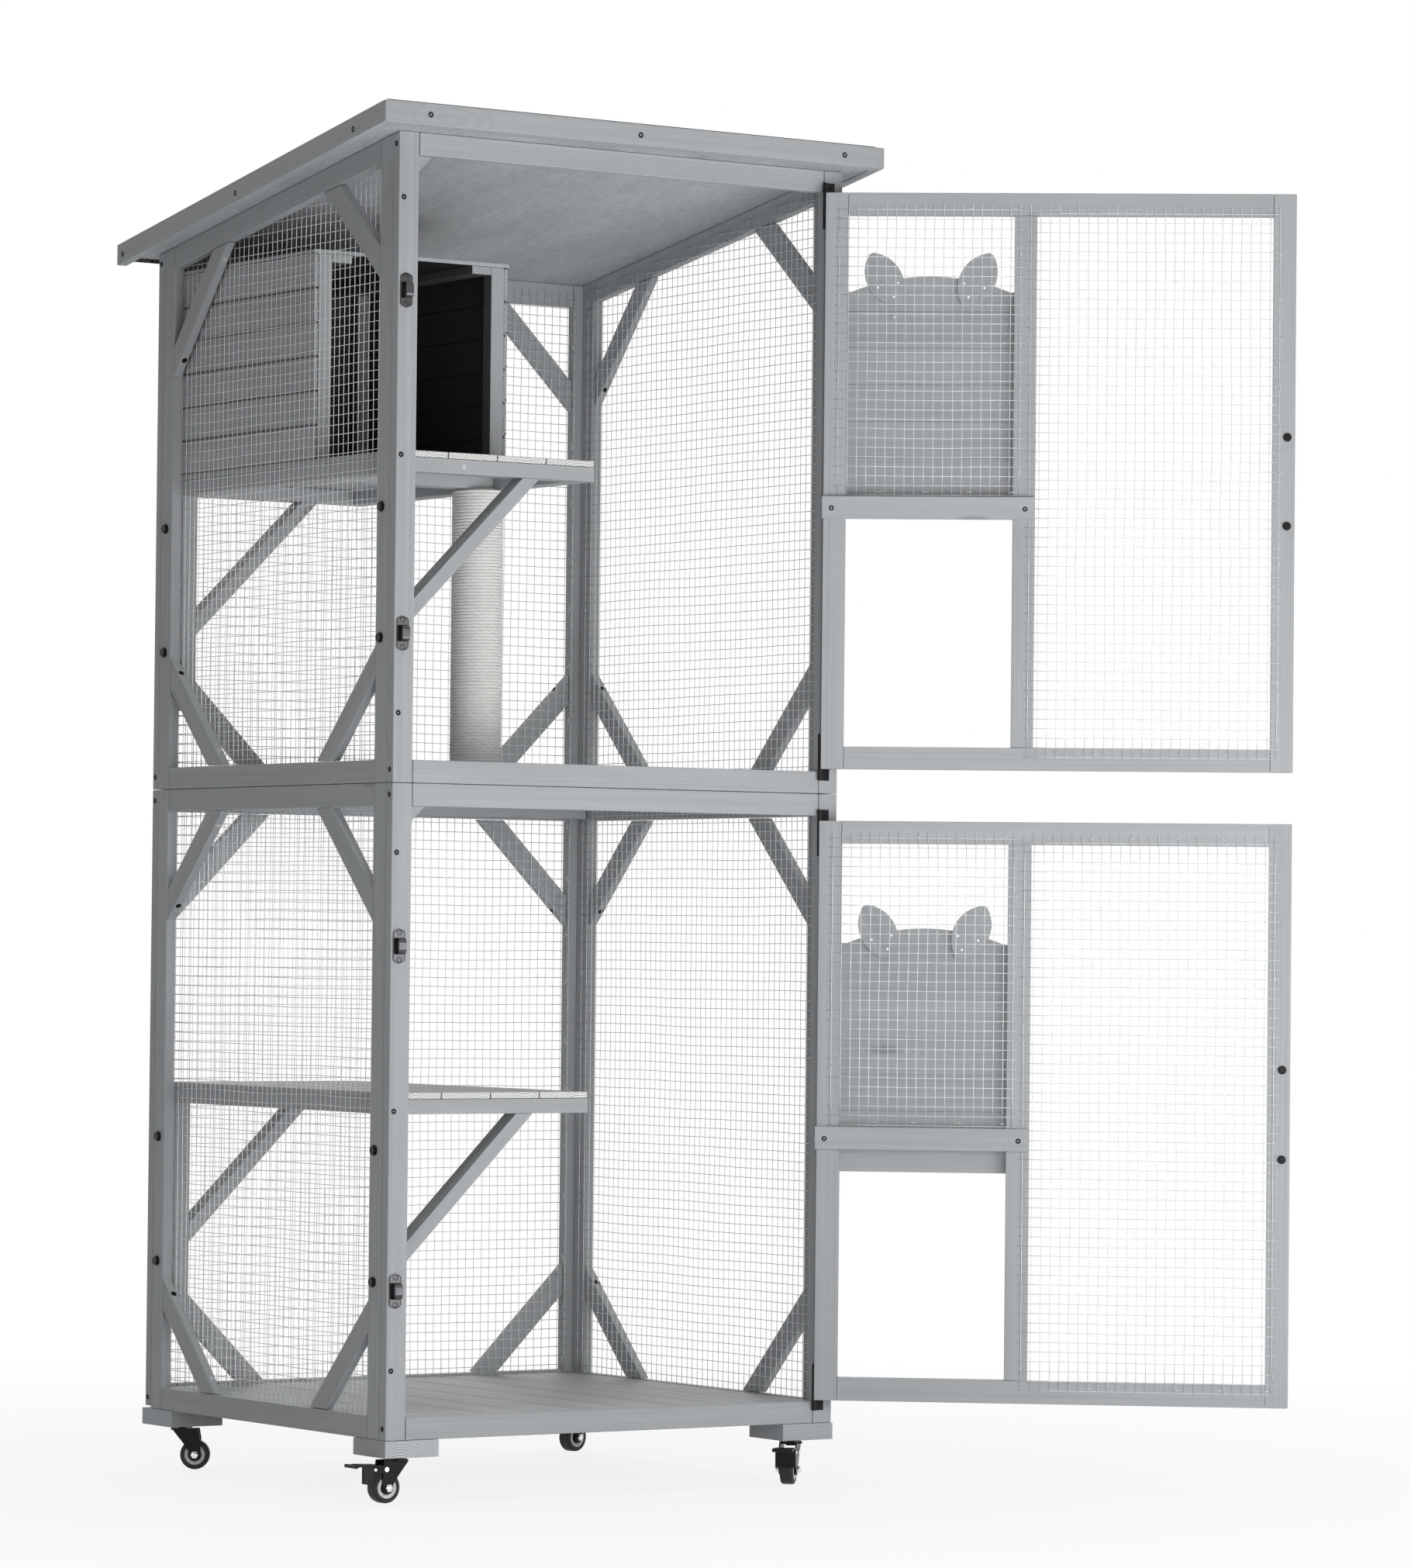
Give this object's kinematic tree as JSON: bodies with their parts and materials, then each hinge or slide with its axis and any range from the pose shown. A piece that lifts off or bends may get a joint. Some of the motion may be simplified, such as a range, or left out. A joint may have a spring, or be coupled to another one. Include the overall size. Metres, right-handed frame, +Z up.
{
  "type": "outdoor cat enclosure",
  "caption": "Two-storey timber and wire-mesh cat enclosure on casters, with hinged doors, sliding hatches, shelves, a house and a scratching post.",
  "frame": {"origin": "on the ground, under the middle of the timber frame's footprint", "axes": "+Z up, +Y from the front (door side) to the back, +X to the right when facing the doors"},
  "size_m": [1.2163, 1.1011, 1.7883],
  "materials": {
    "stained_timber": "matt grey stain with visible grain",
    "shelf_board": "matt grey stain on boards",
    "galvanised_wire": "galvanised welded wire",
    "black_steel": "black semi-gloss",
    "card_tube": "matt card",
    "sisal_rope": "fibrous rope",
    "plywood": "matt plywood, stained",
    "roofing_felt": "mineral-faced felt",
    "wheel_rubber": "moulded rubber tread"
  },
  "bodies": {
    "root": {"lower_front_frame": "stained_timber", "lower_left_wall_frame": "stained_timber", "lower_right_wall_frame": "stained_timber", "lower_back_wall_frame": "stained_timber", "lower_wall_mesh": "galvanised_wire", "upper_front_frame": "stained_timber", "upper_left_wall_frame": "stained_timber", "upper_right_wall_frame": "stained_timber", "upper_back_wall_frame": "stained_timber", "upper_wall_mesh": "galvanised_wire", "door_stop_gussets": "stained_timber", "floor_boards": "shelf_board", "floor_battens": "stained_timber", "mid_platform_boards": "shelf_board", "mid_platform_battens": "stained_timber", "lower_shelf_boards": "shelf_board", "lower_shelf_frame": "stained_timber", "upper_shelf_boards": "shelf_board", "upper_shelf_frame": "stained_timber", "shelf_bolts": "black_steel", "scratching_post_core": "card_tube", "scratching_post_rope": "sisal_rope", "house_walls": "stained_timber", "house_corner_posts": "stained_timber", "house_roof_panel": "plywood", "roof_panel": "plywood", "roof_fascia": "stained_timber", "roof_covering": "roofing_felt", "caster_blocks": "stained_timber", "frame_hinge_leaves": "black_steel", "latch_keepers": "black_steel", "frame_screws": "black_steel", "caster_stems": "black_steel"},
    "upper_door": {"upper_door_frame": "stained_timber", "upper_door_mesh": "galvanised_wire", "upper_hatch_guides": "stained_timber", "upper_door_hardware": "black_steel", "upper_door_handle": "black_steel"},
    "upper_hatch": {"upper_hatch": "stained_timber"},
    "upper_top_bolt": {"upper_door_top_bolt": "black_steel"},
    "upper_low_bolt": {"upper_door_low_bolt": "black_steel"},
    "lower_door": {"lower_door_frame": "stained_timber", "lower_door_mesh": "galvanised_wire", "lower_hatch_guides": "stained_timber", "lower_door_hardware": "black_steel", "lower_door_handle": "black_steel"},
    "lower_hatch": {"lower_hatch": "stained_timber"},
    "lower_top_bolt": {"lower_door_top_bolt": "black_steel"},
    "lower_low_bolt": {"lower_door_low_bolt": "black_steel"},
    "front_left_caster": {"front_left_fork": "black_steel"},
    "front_left_wheel": {"front_left_wheel": "wheel_rubber"},
    "front_left_brake": {"front_left_brake": "black_steel"},
    "front_right_caster": {"front_right_fork": "black_steel"},
    "front_right_wheel": {"front_right_wheel": "wheel_rubber"},
    "front_right_brake": {"front_right_brake": "black_steel"},
    "rear_left_caster": {"rear_left_fork": "black_steel"},
    "rear_left_wheel": {"rear_left_wheel": "wheel_rubber"},
    "rear_right_caster": {"rear_right_fork": "black_steel"},
    "rear_right_wheel": {"rear_right_wheel": "wheel_rubber"}
  },
  "joints": [
    {"name": "upper_door_hinge", "type": "hinge", "parent": "root", "child": "upper_door", "pos_m": [0.3145, -0.322, 1.337], "axis": [0, 0, 1], "range_deg": [-143.3, 14.7]},
    {"name": "upper_hatch_slide", "type": "slide", "parent": "upper_door", "child": "upper_hatch", "axis": [0, 0, 1], "range_m": [-0.305, 0.0485]},
    {"name": "upper_top_bolt_slide", "type": "slide", "parent": "upper_door", "child": "upper_top_bolt", "axis": [0.8018, -0.5976, 0], "range_m": [0, 0.019]},
    {"name": "upper_low_bolt_slide", "type": "slide", "parent": "upper_door", "child": "upper_low_bolt", "axis": [0.8018, -0.5976, 0], "range_m": [0, 0.019]},
    {"name": "lower_door_hinge", "type": "hinge", "parent": "root", "child": "lower_door", "pos_m": [0.3145, -0.322, 0.499], "axis": [0, 0, 1], "range_deg": [-140, 18]},
    {"name": "lower_hatch_slide", "type": "slide", "parent": "lower_door", "child": "lower_hatch", "axis": [0, 0, 1], "range_m": [-0.273, 0.0805]},
    {"name": "lower_top_bolt_slide", "type": "slide", "parent": "lower_door", "child": "lower_top_bolt", "axis": [0.766, -0.6428, 0], "range_m": [0, 0.019]},
    {"name": "lower_low_bolt_slide", "type": "slide", "parent": "lower_door", "child": "lower_low_bolt", "axis": [0.766, -0.6428, 0], "range_m": [0, 0.019]},
    {"name": "front_left_swivel", "type": "hinge", "parent": "root", "child": "front_left_caster", "pos_m": [-0.306, -0.278, 0.05], "axis": [0, 0, 1], "continuous": true},
    {"name": "front_left_wheel_spin", "type": "hinge", "parent": "front_left_caster", "child": "front_left_wheel", "pos_m": [-0.324, -0.278, 0.02], "axis": [0, -1, 0], "continuous": true},
    {"name": "front_left_brake_press", "type": "hinge", "parent": "front_left_caster", "child": "front_left_brake", "pos_m": [-0.328, -0.278, 0.044], "axis": [0, -1, 0], "range_deg": [0, 5]},
    {"name": "front_right_swivel", "type": "hinge", "parent": "root", "child": "front_right_caster", "pos_m": [0.308, -0.278, 0.05], "axis": [0, 0, 1], "continuous": true},
    {"name": "front_right_wheel_spin", "type": "hinge", "parent": "front_right_caster", "child": "front_right_wheel", "pos_m": [0.2955, -0.29095, 0.02], "axis": [0.7193, -0.6947, 0], "continuous": true},
    {"name": "front_right_brake_press", "type": "hinge", "parent": "front_right_caster", "child": "front_right_brake", "pos_m": [0.29272, -0.29383, 0.044], "axis": [0.7193, -0.6947, 0], "range_deg": [0, 5]},
    {"name": "rear_left_swivel", "type": "hinge", "parent": "root", "child": "rear_left_caster", "pos_m": [-0.306, 0.285, 0.05], "axis": [0, 0, 1], "continuous": true},
    {"name": "rear_left_wheel_spin", "type": "hinge", "parent": "rear_left_caster", "child": "rear_left_wheel", "pos_m": [-0.29108, 0.27493, 0.02], "axis": [0.5592, 0.829, 0], "continuous": true},
    {"name": "rear_right_swivel", "type": "hinge", "parent": "root", "child": "rear_right_caster", "pos_m": [0.308, 0.285, 0.05], "axis": [0, 0, 1], "continuous": true},
    {"name": "rear_right_wheel_spin", "type": "hinge", "parent": "rear_right_caster", "child": "rear_right_wheel", "pos_m": [0.32539, 0.28966, 0.02], "axis": [-0.2588, 0.9659, 0], "continuous": true}
  ]
}
